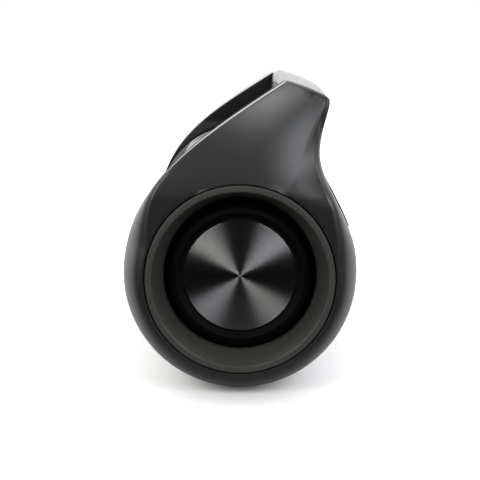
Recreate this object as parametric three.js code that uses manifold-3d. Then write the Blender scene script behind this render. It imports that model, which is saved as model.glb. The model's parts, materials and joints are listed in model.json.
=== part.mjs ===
// Portable boombox loudspeaker: a round cabinet between two teardrop end shells whose arms carry
// a fixed handle bar. Millimetres, +X along the cabinet, -Y to the front, +Z up.
// The origin is under the middle of the body, on the surface that the feet stand on.
import * as THREE from "three";
import { mergeVertices } from "three/addons/utils/BufferGeometryUtils.js";
import Module from "manifold-3d";

const wasm = await Module();
wasm.setup();

// ---- Driving dimensions ----
const LENGTH = 495; // over both end shells
const BELLY_R = 97.75; // round lower part of an end shell
const FOOT_DROP = 1.5; // the feet stand this far below the end shells
const AXIS_Z = BELLY_R + FOOT_DROP; // height of the round body's axis
const TOP_R = 163.2; // the handle's top face, on the same axis
const GAP = 0.4; // clearance between neighbouring pieces
const HALF = LENGTH / 2;

// End shells and arms
const SHELL_WALL = 3;
const SHELL_WIDTH = 46; // from the end face to the inner mouth
const HOLE_R = 79; // opening for the trim ring
const LEAN = 36; // the arms lean inwards by this much at the top
const LEAN_START = 166; // height where the lean begins on the outer face
const INNER_LEAN = 32; // the arm's inner side leans by this much, in a straight line
const INNER_LEAN_START = 200.5; // level with a point of the outline on both sides
const APEX_ANGLE = 13.5; // degrees from the top to the handle's front top edge, towards the rear
const REAR_CORNER_ANGLE = 27;
const WAIST = [65.2, 200.7]; // innermost point of the hollow behind the arm
const FRONT_TANGENT = 80; // degrees from the top, where the front slope leaves the belly
const REAR_TANGENT = 70;

// Round body between the shells
const BODY_R = 96.5;
const BODY_HALF = HALF - SHELL_WIDTH - 1.8;
const CLOTH = 1.2;
const COVER = { thick: 2.2, gap: 1.2 }; // on an arm's inner side, past the shell's mouth
const PANEL = { front: -37, rear: 14, half: 167, thick: 2.5 }; // the control strip, in degrees from the top

// Passive radiators, depths measured inwards from the end plane
const RING_R = 77.3;
const LIP_R = 72.2;
const FUNNEL_R = 63.6;
const FUNNEL_DEPTH = 29;
const DISC_R = 46;
const DISC_DEPTH = 23;
const DISC_RISE = 4;

// Drivers on the flat front baffle
const BAFFLE_Y = -72;
const CABINET_WALL = 3;
const CABINET_INSET = 4.5;
const CABINET_TOP = 180;
const WOOFER_X = 108;
const TWEETER_X = 30;

// Controls and ports
const BUTTON_PITCH = 42;
const BUTTON = { length: 27, width: 12, proud: 0.9 };
const DOOR = { halfX: 57.6, low: 62.4, high: 97.6, thick: 2.8 };

// ---- Materials ----
const finish = (color, roughness, metalness = 0) =>
  new THREE.MeshStandardMaterial({ color, roughness, metalness });
const SHELL_GREY = finish(0x3c3c3d, 0.42);
const DARK_PLASTIC = finish(0x1c1c1d, 0.55);
const RING_GREY = finish(0x373733, 0.5);
const RUBBER = finish(0x0f0f0f, 0.75);
const CLOTH_BLACK = finish(0x232222, 0.95);
const DISC_DARK = finish(0x2a2a2c, 0.3, 0.8);
const STEEL = finish(0x8a8c8e, 0.4, 1);
const BOARD_GREEN = finish(0x1d4a31, 0.6);
const CELL_BLUE = finish(0x24395c, 0.5);
const PAPER_CONE = finish(0x191919, 0.85);
const LENS_WHITE = finish(0xd9dde0, 0.25);

// ---- Frames: where a flat or turned shape stands in the part ----
const ACROSS = new THREE.Matrix4().makeBasis(
  new THREE.Vector3(0, 1, 0), new THREE.Vector3(0, 0, 1), new THREE.Vector3(1, 0, 0));
const TURNED_X = new THREE.Matrix4().makeBasis(
  new THREE.Vector3(0, 1, 0), new THREE.Vector3(1, 0, 0), new THREE.Vector3(0, 0, -1));
const at = (x, y, z) => new THREE.Matrix4().makeTranslation(x, y, z);

// ---- Solids ----
function toSolid(geometry) {
  const bare = geometry.index ? geometry.clone() : geometry;
  const only = new THREE.BufferGeometry().setAttribute("position", bare.getAttribute("position"));
  if (bare.index) only.setIndex(bare.index);
  const merged = mergeVertices(only, 1e-4);
  return new wasm.Manifold(new wasm.Mesh({
    numProp: 3,
    vertProperties: merged.attributes.position.array,
    triVerts: new Uint32Array(merged.index.array),
  }));
}

function toGeometry(solid) {
  const { numProp, numVert, vertProperties, triVerts } = solid.getMesh();
  const positions = new Float32Array(numVert * 3);
  for (let i = 0; i < numVert; i++) {
    positions.set(vertProperties.subarray(i * numProp, i * numProp + 3), i * 3);
  }
  return new THREE.BufferGeometry()
    .setAttribute("position", new THREE.BufferAttribute(positions, 3))
    .setIndex(new THREE.BufferAttribute(triVerts, 1));
}

// A closed outline in (y, z) swept along X from x0 to x1.
function prism(outline, x0, x1, steps = 1) {
  const shape = new THREE.Shape(outline.map(([y, z]) => new THREE.Vector2(y, z)));
  const settings = { depth: x1 - x0, steps, bevelEnabled: false, curveSegments: 1 };
  const geometry = new THREE.ExtrudeGeometry(shape, settings);
  geometry.applyMatrix4(ACROSS);
  geometry.translate(x0, 0, 0);
  return toSolid(geometry);
}

// A box from its low and high corners.
function block(low, high) {
  const size = high.map((v, i) => v - low[i]);
  const geometry = new THREE.BoxGeometry(...size);
  geometry.translate(...high.map((v, i) => (v + low[i]) / 2));
  return toSolid(geometry);
}

// A closed (radius, height) profile turned round the lathe's own axis, then placed.
function turned(profile, segments, place) {
  const points = profile.map(([r, h]) => new THREE.Vector2(r, h));
  if (profile[0][0] > 0) points.push(points[0].clone());
  const geometry = new THREE.LatheGeometry(points, segments);
  geometry.applyMatrix4(place);
  const solid = toSolid(geometry);
  if (solid.volume() > 0) return solid;
  points.reverse();
  return toSolid(new THREE.LatheGeometry(points, segments).applyMatrix4(place));
}

// A stadium of full length and width, extruded upwards along Z by depth.
function stadium(length, width, depth, segments = 4) {
  const r = width / 2;
  const straight = length / 2 - r;
  const shape = new THREE.Shape();
  shape.absarc(straight, 0, r, -Math.PI / 2, Math.PI / 2);
  shape.absarc(-straight, 0, r, Math.PI / 2, 1.5 * Math.PI);
  return toSolid(new THREE.ExtrudeGeometry(shape, { depth, bevelEnabled: false, curveSegments: segments }));
}

// ---- Outlines ----
const radians = (degrees) => (degrees * Math.PI) / 180;
// A point on a circle round the body's axis; the angle runs from the top, positive to the rear.
const onCircle = (r, degrees) => [r * Math.sin(radians(degrees)), AXIS_Z + r * Math.cos(radians(degrees))];
const APEX = onCircle(TOP_R, APEX_ANGLE);
const REAR_CORNER = onCircle(TOP_R, REAR_CORNER_ANGLE);
const HEIGHT = APEX[1];

function bezier(from, c1, c2, to, count) {
  const curve = new THREE.CubicBezierCurve(...[from, c1, c2, to].map((p) => new THREE.Vector2(...p)));
  return curve.getSpacedPoints(count).slice(0, -1).map((p) => [p.x, p.y]);
}

function arc(r, start, end, count) {
  return Array.from({ length: count }, (_, i) => onCircle(r, start + ((end - start) * i) / count));
}

// Along the circle's tangent at an angle, towards the top, by a distance.
function tangentPoint(r, degrees, distance) {
  const [y, z] = onCircle(r, degrees);
  const turn = Math.sign(degrees);
  return [y - turn * distance * Math.cos(radians(degrees)), z + distance * Math.sin(radians(Math.abs(degrees)))];
}

// The teardrop of an end shell, from the apex round the rear, under the belly and up the front slope.
function teardrop() {
  const rear = onCircle(BELLY_R, REAR_TANGENT);
  const front = onCircle(BELLY_R, -FRONT_TANGENT);
  return [
    ...arc(TOP_R, APEX_ANGLE, REAR_CORNER_ANGLE, 3),
    ...bezier(REAR_CORNER, [71.9, 230.7], [WAIST[0], WAIST[1] + 13.5], WAIST, 4),
    ...bezier(WAIST, [WAIST[0], WAIST[1] - 21], tangentPoint(BELLY_R, REAR_TANGENT, 28.4), rear, 6),
    ...arc(BELLY_R, REAR_TANGENT, 360 - FRONT_TANGENT, 21),
    ...bezier(front, tangentPoint(BELLY_R, -FRONT_TANGENT, 64.5), [-34, 212.6], APEX, 10),
  ];
}

// The section of the round body.
const bodySection = () => arc(BODY_R, 0, 360, 40);

// The unit vector into a closed outline at each of its points.
function inwardNormals(outline) {
  const area = outline.reduce((sum, [y, z], i) => {
    const [y2, z2] = outline[(i + 1) % outline.length];
    return sum + y * z2 - y2 * z;
  }, 0);
  const side = Math.sign(area);
  return outline.map((p, i) => {
    const before = outline[(i + outline.length - 1) % outline.length];
    const after = outline[(i + 1) % outline.length];
    const a = new THREE.Vector2(p[0] - before[0], p[1] - before[1]).normalize();
    const b = new THREE.Vector2(after[0] - p[0], after[1] - p[1]).normalize();
    const mitre = Math.max(0.5, Math.sqrt((1 + a.dot(b)) / 2));
    const t = a.add(b).normalize();
    return [(-t.y * side) / mitre, (t.x * side) / mitre];
  });
}

function inset(outline, distance) {
  const normals = inwardNormals(outline);
  return outline.map(([y, z], i) => [y + normals[i][0] * distance, z + normals[i][1] * distance]);
}

// How far the arm's outer face and its inner side have leaned inwards at a height.
const leanShare = (z, start) => Math.min(1, Math.max(0, (z - start) / (HEIGHT - start)));
const lean = (z) => LEAN * leanShare(z, LEAN_START) ** 1.5;
const innerLean = (z) => INNER_LEAN * leanShare(z, INNER_LEAN_START);

const smooth = (t) => {
  const c = Math.min(1, Math.max(0, t));
  return c * c * (3 - 2 * c);
};

// How far the rim's rounding reaches in from the outline, and how deep, at a point of the teardrop.
function rimRounding([y, z]) {
  const angle = Math.abs(THREE.MathUtils.radToDeg(Math.atan2(y, z - AXIS_Z)));
  const belly = smooth((angle - 46) / 22);
  const crisp = y > 50 ? 4 : 1.5;
  return [crisp + (14 - crisp) * belly, crisp + (20 - crisp) * belly];
}

// ---- End shells and arms ----
// One closed wall: a section runs out over the face, round the rim to the mouth and back inside,
// and is repeated at each point of the teardrop.
function endShell() {
  const outline = teardrop();
  const normals = inwardNormals(outline);
  const point = (y, z, depth) => {
    const share = depth / SHELL_WIDTH;
    const shift = lean(z) * (1 - share) + innerLean(z) * share;
    return new THREE.Vector3(HALF - depth - shift, y, z);
  };
  const sections = outline.map((p, i) => {
    const angle = THREE.MathUtils.radToDeg(Math.atan2(p[0], p[1] - AXIS_Z));
    const [reach, deep] = rimRounding(p);
    const rim = (distance, depth) =>
      point(p[0] + normals[i][0] * distance, p[1] + normals[i][1] * distance, depth);
    const hole = (r, depth) => new THREE.Vector3(HALF - depth, ...onCircle(r, angle));
    const face = rim(reach, 0);
    const lip = hole(HOLE_R + 2, 0);
    const middle = new THREE.Vector3().addVectors(face, lip).multiplyScalar(0.5);
    middle.x = HALF - lean(middle.z);
    return [
      hole(HOLE_R, 9),
      hole(HOLE_R, 1.6),
      lip,
      middle,
      face,
      rim(reach * 0.3, deep * 0.28),
      rim(0, deep),
      rim(0, SHELL_WIDTH),
      rim(SHELL_WALL, SHELL_WIDTH),
      rim(SHELL_WALL, deep + SHELL_WALL),
      rim(Math.max(0.6 * reach, SHELL_WALL + 1), SHELL_WALL + 1.5),
      hole(HOLE_R + 3, SHELL_WALL + 1.5),
      hole(HOLE_R + 3, 9),
    ];
  });
  const loops = sections.length;
  const steps = sections[0].length;
  const positions = sections.flat().flatMap((v) => v.toArray());
  const index = [];
  for (let i = 0; i < loops; i++) {
    for (let j = 0; j < steps; j++) {
      const a = i * steps + j;
      const b = i * steps + ((j + 1) % steps);
      const c = ((i + 1) % loops) * steps + j;
      const d = ((i + 1) % loops) * steps + ((j + 1) % steps);
      index.push(a, c, b, b, c, d);
    }
  }
  const geometry = new THREE.BufferGeometry();
  geometry.setAttribute("position", new THREE.BufferAttribute(new Float32Array(positions), 3));
  geometry.setIndex(index);
  const solid = toSolid(geometry);
  if (solid.volume() > 0) return solid;
  geometry.setIndex(index.map((_, i) => index[i - (i % 3) + (2 - (i % 3))]));
  return toSolid(geometry);
}

const MOUTH = HALF - SHELL_WIDTH;
const COVER_LOW = 150; // below this the shell's mouth lies close round the body

// Moves each point of a solid inwards along X as the arm's inner side leans; share scales it by x.
function leaned(solid, share = () => 1) {
  return solid.warp((v) => {
    v[0] -= Math.sign(v[0]) * innerLean(v[2]) * share(v[0]);
  });
}

// The plate that closes an arm's hollow towards the handle opening and fits round the body.
function armCover() {
  const plate = prism(inset(teardrop(), GAP), MOUTH - COVER.gap - COVER.thick, MOUTH - COVER.gap);
  const body = prism(inset(bodySection(), -GAP), MOUTH - 9, MOUTH + 1);
  const below = block([MOUTH - 9, -200, -10], [MOUTH + 1, 200, COVER_LOW]);
  const cover = plate.subtract(body).subtract(below);
  const upright = cover.trimByPlane([0, 0, -1], -INNER_LEAN_START);
  const leaning = leaned(cover.trimByPlane([0, 0, 1], INNER_LEAN_START));
  return handleScrewPair(upright.add(leaning), SCREW.shaft + GAP);
}

// ---- Handle ----
const HANDLE_END = MOUTH - COVER.gap - COVER.thick - GAP;
const HANDLE_STEPS = 12;
const ARCH = { rise: 6, half: HANDLE_END - INNER_LEAN }; // the bar rises between the arms' top ends
const handleShare = (x) => Math.abs(x) / HANDLE_END;
const PARTING = { front: [37.4, 249], rear: [70.6, 231] };
const CORE = { low: [44, 231], high: [58, 240.4], half: 150 };

// Bends a straight bar into the handle's shallow arch.
function arched(bar) {
  return bar.warp((v) => {
    v[2] += ARCH.rise * Math.max(0, 1 - (v[0] / ARCH.half) ** 2);
  });
}

// A bar of the handle between the arms, its ends sloped to meet their covers.
function handleBar(outline) {
  return arched(leaned(prism(outline, -HANDLE_END, HANDLE_END, HANDLE_STEPS), handleShare));
}

// The satin upper half of the bar follows the teardrop's top and holds the steel bar in a channel.
function handleTop() {
  const outline = [
    PARTING.front,
    ...arc(TOP_R, APEX_ANGLE, REAR_CORNER_ANGLE, 3),
    REAR_CORNER,
    PARTING.rear,
    [CORE.high[0] + GAP, CORE.low[1] + 4],
    [CORE.high[0] + GAP, CORE.high[1] + GAP],
    [CORE.low[0] - GAP, CORE.high[1] + GAP],
    [CORE.low[0] - GAP, CORE.high[1] + 1.4],
  ];
  return handleScrewPair(handleBar(outline), SCREW.shaft + GAP);
}

// The soft lower half of the bar, which the fingers hold.
function handleGrip() {
  const outline = [
    [PARTING.front[0] - 0.2, PARTING.front[1] - 0.6],
    [CORE.low[0] - 1, CORE.high[1] + 0.2],
    [CORE.low[0] - 1, CORE.low[1] - GAP],
    [CORE.high[0] + 1, CORE.low[1] - GAP],
    [CORE.high[0] + 1, CORE.low[1] + 2.8],
    [PARTING.rear[0] - 0.6, PARTING.rear[1] - 0.7],
    [67.2, 227],
    [60, 224],
    [50, 223.6],
    [42.5, 227.4],
    [38.4, 234],
    [37.2, 241],
  ];
  return handleBar(outline);
}

// The steel bar that stiffens the handle.
function handleCore() {
  const [low, high] = [CORE.low, CORE.high];
  const outline = [low, [low[0], high[1]], high, [high[0], low[1]]];
  return arched(prism(outline, -CORE.half, CORE.half, HANDLE_STEPS));
}

// A screw from inside the arm, through its cover and into the end of the bar, square to the cover.
const SCREW = { shaft: 2.2, head: 3.6, y: 51, z: 246, into: 14, clear: 4.5 };
function handleScrewHole(r, from, to) {
  const mouth = MOUTH - innerLean(SCREW.z);
  const geometry = new THREE.CylinderGeometry(r, r, to - from, 10);
  geometry.rotateZ(-Math.PI / 2);
  geometry.translate(mouth + (from + to) / 2, SCREW.y, SCREW.z);
  return toSolid(geometry);
}
const handleScrew = () => handleScrewHole(SCREW.shaft, -SCREW.into, SCREW.clear + 2)
  .add(handleScrewHole(SCREW.head, SCREW.clear + 1, SCREW.clear + 3.4));
const handleScrewPair = (solid, r) => {
  const hole = handleScrewHole(r, -SCREW.into - 1, 12);
  return solid.subtract(hole).subtract(hole.mirror([1, 0, 0]));
};

// ---- Round body ----
const bodyPrism = (depth, half = BODY_HALF) => prism(inset(bodySection(), depth), -half, half);
const everything = (low, high) => block([-400, ...low], [400, ...high]);

function portWindow(grow) {
  return block([-DOOR.halfX - grow, 60, DOOR.low - grow], [DOOR.halfX + grow, 120, DOOR.high + grow]);
}

// The charge light's window: a stadium on the lower front, facing along the radius there.
const LIGHT_ANGLE = -126;
function lightBar(length, width, r0, r1) {
  const place = new THREE.Matrix4().makeTranslation(0, 0, AXIS_Z);
  place.multiply(new THREE.Matrix4().makeRotationX(radians(-LIGHT_ANGLE)));
  place.multiply(at(0, 0, r0));
  return stadium(length, width, r1 - r0).transform(place.elements);
}

// The sector of the body that the control strip fills, wider by a gap on both sides.
function panelZone(gap) {
  const extra = THREE.MathUtils.radToDeg(gap / BODY_R);
  const [front, rear] = [PANEL.front - extra, PANEL.rear + extra];
  const outside = BODY_R * 1.3;
  const half = PANEL.half + gap;
  return prism([[0, AXIS_Z], onCircle(outside, front), onCircle(outside, PANEL_MIDDLE),
    onCircle(outside, rear)], -half, half);
}

// Turns a solid that is built at the top of the body forwards, to the middle of the control strip.
const PANEL_MIDDLE = (PANEL.front + PANEL.rear) / 2;
const ontoPanel = (solid) =>
  solid.translate([0, 0, -AXIS_Z]).rotate([-PANEL_MIDDLE, 0, 0]).translate([0, 0, AXIS_Z]);

function grilleCloth() {
  const sleeve = bodyPrism(0).subtract(bodyPrism(CLOTH, BODY_HALF + 1));
  return sleeve
    .subtract(panelZone(GAP))
    .subtract(portWindow(GAP))
    .subtract(lightBar(47, 9, 80, 110));
}

function grilleCore() {
  const half = BODY_HALF - 4;
  const sheet = bodyPrism(CLOTH + 0.4, half).subtract(bodyPrism(CLOTH + 1.4, half + 1));
  return sheet
    .intersect(everything([-120, -5], [-12, 172]))
    .subtract(lightBar(47, 9, 80, 110));
}

function cabinetWall() {
  const outside = bodyPrism(CABINET_INSET, 200).intersect(everything([BAFFLE_Y, -5], [120, CABINET_TOP]));
  const room = bodyPrism(CABINET_INSET + CABINET_WALL, 201)
    .intersect(everything([BAFFLE_Y + CABINET_WALL, -5], [120, CABINET_TOP - CABINET_WALL]));
  return outside.subtract(room);
}

// A cylinder along Y for a hole or a round piece.
function alongY(r, y0, y1, x, segments) {
  const geometry = new THREE.CylinderGeometry(r, r, y1 - y0, segments);
  geometry.translate(x, (y0 + y1) / 2, AXIS_Z);
  return toSolid(geometry);
}

function cabinetFront() {
  let half = cabinetWall().intersect(everything([-120, -5], [-0.2, 230]));
  for (const side of [-1, 1]) {
    half = half.subtract(alongY(39, -80, -60, side * WOOFER_X, 18));
    half = half.subtract(alongY(11, -80, -60, side * TWEETER_X, 16));
  }
  return half;
}

// The rear half has a window for the port bay, and posts that carry the main board.
function cabinetRear() {
  let half = cabinetWall().intersect(everything([0.2, -5], [120, 230]));
  const room = bodyPrism(CABINET_INSET + 1, 150);
  for (const x of [-BOARD.halfX + 6, BOARD.halfX - 6]) {
    for (const z of [BOARD.low + 6, BOARD.high - 6]) {
      half = half.add(block([x - 3, BOARD.back + GAP, z - 3], [x + 3, 100, z + 3]).intersect(room));
    }
  }
  return half.subtract(block([-62.4, 60, 57.6], [62.4, 120, 102.4]));
}

function controlPanel() {
  const skin = bodyPrism(0).subtract(bodyPrism(PANEL.thick, BODY_HALF + 1)).intersect(panelZone(0));
  return BUTTON_NAMES.reduce((panel, _, i) => {
    const hole = stadium(BUTTON.length + 1, BUTTON.width + 1, 20);
    return panel.subtract(ontoPanel(hole.translate([buttonX(i), 0, BODY_TOP - 10])));
  }, skin);
}

// ---- Buttons ----
const BUTTON_NAMES = ["wireless", "volume_down", "power", "play", "volume_up", "link"];
const buttonX = (i) => (i - (BUTTON_NAMES.length - 1) / 2) * BUTTON_PITCH;
const BODY_TOP = AXIS_Z + BODY_R;
const BUTTON_LOW = BODY_TOP - 5.6;

function button(i) {
  const cap = stadium(BUTTON.length, BUTTON.width, BODY_TOP + BUTTON.proud - BUTTON_LOW);
  const flange = stadium(BUTTON.length + 3, BUTTON.width + 3, 1.6);
  return ontoPanel(cap.add(flange).translate([buttonX(i), 0, BUTTON_LOW]));
}

// ---- Passive radiators, turned round X at the right end ----
const endPlace = new THREE.Matrix4().multiplyMatrices(at(HALF, 0, AXIS_Z), TURNED_X);

const trimRing = () => turned([
  [RING_R, -0.8], [RING_R - 0.8, 0], [LIP_R + 0.6, 0], [LIP_R, -0.8], [FUNNEL_R, -FUNNEL_DEPTH],
  [FUNNEL_R + 4, -FUNNEL_DEPTH], [LIP_R + 1.5, -4], [RING_R, -4],
], 36, endPlace);

const radiatorFrame = () => turned([
  [60, -FUNNEL_DEPTH - 5], [60, -FUNNEL_DEPTH - 3], [70, -FUNNEL_DEPTH - 3], [70, -43.2],
  [90, -43.2], [90, -46], [67, -46], [67, -FUNNEL_DEPTH - 5],
], 24, endPlace);

// A half roll of rubber between the frame and the disc, falling steadily inwards towards the disc's edge.
const surround = () => turned([
  [FUNNEL_R - 1, -FUNNEL_DEPTH - 0.4], [58, -FUNNEL_DEPTH + 4], [53, -FUNNEL_DEPTH + 6.4],
  [DISC_R + 3, -DISC_DEPTH - 0.6], [DISC_R + 0.6, -DISC_DEPTH - 0.2], [DISC_R + 0.6, -DISC_DEPTH - 2.2],
  [53, -FUNNEL_DEPTH + 4.4], [57.4, -FUNNEL_DEPTH + 2.2], [FUNNEL_R - 1, -FUNNEL_DEPTH - 2.4],
], 28, endPlace);

const disc = () => turned([
  [0, DISC_RISE - DISC_DEPTH], [DISC_R, -DISC_DEPTH], [DISC_R, -DISC_DEPTH - 2.4], [0, -DISC_DEPTH - 1],
], 28, endPlace);

const weight = () => turned([
  [0, -DISC_DEPTH - 1.4], [10, -DISC_DEPTH - 1.9], [18, -DISC_DEPTH - 4.4], [18, -DISC_DEPTH - 12],
  [0, -DISC_DEPTH - 12],
], 16, endPlace);

// ---- Drivers, turned round Y; the lathe's height runs forwards from the baffle ----
const driverPlace = (x) => new THREE.Matrix4().multiplyMatrices(
  at(x, BAFFLE_Y, AXIS_Z), new THREE.Matrix4().makeRotationX(Math.PI));

const wooferBasket = (x) => turned([
  [50, 0.4], [50, 3], [44.6, 3], [38.4, -1], [24, -30], [12, -30], [12, -33], [26, -33],
  [37.6, -6], [37.6, 0.4],
], 18, driverPlace(x));
const wooferMagnet = (x) => turned([
  [11.4, -33.4], [31, -33.4], [31, -48], [0, -48], [0, -40], [11.4, -40],
], 16, driverPlace(x));
const wooferSurround = (x) => turned([
  [46.5, 3.4], [44, 6.5], [40, 7.5], [36.8, 4], [36.8, 2.6], [40, 6], [44.8, 3.4],
], 18, driverPlace(x));
const wooferCone = (x) => turned([
  [0, -4], [8, -5.6], [14, -9.4], [36, 3.8], [36, 2.4], [13, -11.6], [9.6, -13], [9.6, -26],
  [8.4, -26], [8.4, -9], [0, -6],
], 18, driverPlace(x));
const tweeterFrame = (x) => turned([
  [16, 0.4], [16, 2.4], [9.6, 2.4], [9.6, -5], [10.6, -5], [10.6, 0.4],
], 16, driverPlace(x));
const tweeterDome = (x) => turned([
  [0, 5], [5, 4], [9, 0.8], [9, -4], [8, -4], [8, 0.4], [0, 3.6],
], 16, driverPlace(x));

// ---- Inside the cabinet ----
const BATTERY = { low: [-92, -30, 20], high: [92, 28, 56] };
const grown = (box, by) => [box.low.map((v) => v - by), box.high.map((v) => v + by)];
const batteryPack = () => block(BATTERY.low, BATTERY.high);

function batteryCradle() {
  const [low, high] = grown(BATTERY, GAP);
  const [outerLow, outerHigh] = grown(BATTERY, 6);
  const tray = block(outerLow, [outerHigh[0], outerHigh[1], 40])
    .subtract(block(low, [high[0], high[1], 60]));
  return tray.intersect(bodyPrism(CABINET_INSET + CABINET_WALL + GAP, 150));
}

// A band over the battery, with its two ends down on the cradle's edges.
function batteryStrap() {
  const [low, high] = grown(BATTERY, GAP);
  return block([-12, low[1] - 2, 40.4], [12, high[1] + 2, high[2] + 1.6])
    .subtract(block([-13, low[1], 30], [13, high[1], high[2]]));
}

const BOARD = { halfX: 80, low: 108, high: 160, front: 58, back: 59.6 };
const mainBoard = () => block([-BOARD.halfX, BOARD.front, BOARD.low], [BOARD.halfX, BOARD.back, BOARD.high]);

// A plate with fins, on the board's front.
function heatSink() {
  const base = BOARD.front - GAP;
  const plate = block([-58, base - 2, 112], [-20, base, 154]);
  const fins = Array.from({ length: 6 }, (_, i) => block([-58, base - 12, 113 + i * 7.6], [-20, base - 1, 115 + i * 7.6]));
  return fins.reduce((sum, fin) => sum.add(fin), plate);
}
const buttonMat = () => ontoPanel(block([-122, -9, BUTTON_LOW - 2.2], [122, 9, BUTTON_LOW - 1.1]));
const buttonBoard = () => ontoPanel(block([-128, -11, BUTTON_LOW - 4.6], [128, 11, BUTTON_LOW - 2.8]));

// ---- Port bay at the rear ----
const BAY = { floor: 70, thick: 3, halfX: 58, low: 62, high: 98 };
const SOCKET_Z = (BAY.low + BAY.high) / 2;
const SOCKETS = {
  power_inlet: { x: -38, width: 14, height: 14 },
  audio_jack: { x: -16, width: 9, height: 9 },
  usb_socket_left: { x: 8, width: 15, height: 8 },
  usb_socket_right: { x: 34, width: 15, height: 8 },
};
const SOCKET_BASE = BAY.floor - 6; // the sockets stand on the port board
const SOCKET_FACE = BAY.floor + 1;
const SOCKET_REST = 2; // solid end behind each socket's mouth

function socketBox({ x, width, height }, y0, y1, grow = 0) {
  return block([x - width / 2 - grow, y0, SOCKET_Z - height / 2 - grow],
    [x + width / 2 + grow, y1, SOCKET_Z + height / 2 + grow]);
}

function portBay() {
  const wall = 4;
  const outside = bodyPrism(3.6, BAY.halfX + wall).intersect(
    block([-BAY.halfX - wall, BAY.floor - BAY.thick, BAY.low - wall], [BAY.halfX + wall, 120, BAY.high + wall]));
  const room = block([-BAY.halfX, BAY.floor, BAY.low], [BAY.halfX, 120, BAY.high]);
  return Object.values(SOCKETS).reduce(
    (bay, socket) => bay.subtract(socketBox(socket, BAY.floor - 10, 120, GAP)), outside.subtract(room));
}

const portBoard = () =>
  block([-50, SOCKET_BASE - GAP - 1.6, BAY.low + 2], [50, SOCKET_BASE - GAP, BAY.high - 2]);

// A flat socket with a tongue inside, or none.
function flatSocket(socket) {
  const mouth = { ...socket, width: socket.width - 2.4, height: socket.height - 2.8 };
  const tongue = { ...socket, width: socket.width - 4, height: 1.4 };
  return socketBox(socket, SOCKET_BASE, SOCKET_FACE)
    .subtract(socketBox(mouth, SOCKET_BASE + SOCKET_REST, SOCKET_FACE + 1))
    .add(socketBox(tongue, SOCKET_BASE + 1, SOCKET_FACE - 1));
}

// A square body with a round mouth, and a centre pin where the plug is hollow.
function roundSocket(socket, mouthR, pinR) {
  const length = SOCKET_FACE - SOCKET_BASE;
  const round = (r, y0, y1, segments) => toSolid(new THREE.CylinderGeometry(r, r, y1 - y0, segments)
    .translate(socket.x, (y0 + y1) / 2, SOCKET_Z));
  const body = socketBox(socket, SOCKET_BASE, SOCKET_FACE)
    .subtract(round(mouthR, SOCKET_BASE + SOCKET_REST, SOCKET_BASE + length + 1, 16));
  return pinR > 0 ? body.add(round(pinR, SOCKET_BASE + 1, SOCKET_FACE - 1, 8)) : body;
}

// The flap follows the body and has a small pull lip along the middle of its upper edge.
function portDoor() {
  const skin = bodyPrism(0.1, DOOR.halfX).subtract(bodyPrism(DOOR.thick, DOOR.halfX + 1));
  const lip = block([-9, 94, DOOR.high - 4], [9, BELLY_R - 0.2, DOOR.high]);
  return skin.intersect(portWindow(0)).add(lip);
}

// ---- Feet ----
function foot(x0, x1) {
  const pad = block([x0, -30, 0], [x1, 30, 9]);
  return pad.subtract(bodyPrism(-GAP, 260));
}

// ---- The assembly ----
const part = new THREE.Group();

function add(name, solid, material) {
  const mesh = new THREE.Mesh(toGeometry(solid), material);
  mesh.name = name;
  part.add(mesh);
}

// A right-hand piece and its mirror image at the left end.
function addPair(name, solid, material) {
  add(`${name}_right`, solid, material);
  add(`${name}_left`, solid.mirror([1, 0, 0]), material);
}

addPair("end_shell", endShell(), SHELL_GREY);
addPair("arm_cover", armCover(), DARK_PLASTIC);
add("handle_top", handleTop(), SHELL_GREY);
add("handle_grip", handleGrip(), RUBBER);
add("handle_core", handleCore(), STEEL);
addPair("handle_screw", handleScrew(), STEEL);

add("grille_cloth", grilleCloth(), CLOTH_BLACK);
add("grille_core", grilleCore(), STEEL);
add("cabinet_front", cabinetFront(), DARK_PLASTIC);
add("cabinet_rear", cabinetRear(), DARK_PLASTIC);
add("control_panel", controlPanel(), SHELL_GREY);
BUTTON_NAMES.forEach((name, i) => add(`${name}_button`, button(i), RUBBER));
add("button_mat", buttonMat(), RUBBER);
add("button_board", buttonBoard(), BOARD_GREEN);

addPair("trim_ring", trimRing(), RING_GREY);
addPair("radiator_frame", radiatorFrame(), DARK_PLASTIC);
addPair("radiator_surround", surround(), RUBBER);
addPair("radiator_disc", disc(), DISC_DARK);
addPair("radiator_weight", weight(), STEEL);

addPair("woofer_basket", wooferBasket(WOOFER_X), STEEL);
addPair("woofer_magnet", wooferMagnet(WOOFER_X), STEEL);
addPair("woofer_surround", wooferSurround(WOOFER_X), RUBBER);
addPair("woofer_cone", wooferCone(WOOFER_X), PAPER_CONE);
addPair("tweeter_frame", tweeterFrame(TWEETER_X), DARK_PLASTIC);
addPair("tweeter_dome", tweeterDome(TWEETER_X), PAPER_CONE);

add("battery_pack", batteryPack(), CELL_BLUE);
add("battery_cradle", batteryCradle(), DARK_PLASTIC);
add("battery_strap", batteryStrap(), RUBBER);
add("main_board", mainBoard(), BOARD_GREEN);
add("heat_sink", heatSink(), STEEL);

add("port_bay", portBay(), DARK_PLASTIC);
add("port_board", portBoard(), BOARD_GREEN);
add("power_inlet", roundSocket(SOCKETS.power_inlet, 4.6, 1.2), DARK_PLASTIC);
add("audio_jack", roundSocket(SOCKETS.audio_jack, 2.4, 0), DARK_PLASTIC);
add("usb_socket_left", flatSocket(SOCKETS.usb_socket_left), STEEL);
add("usb_socket_right", flatSocket(SOCKETS.usb_socket_right), STEEL);
add("port_door", portDoor(), RUBBER);
add("charge_light", lightBar(46, 8, 92.6, 96.9), LENS_WHITE);

add("foot_right", foot(70, 185), RUBBER);
add("foot_left", foot(-185, -70), RUBBER);

export default part;
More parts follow.
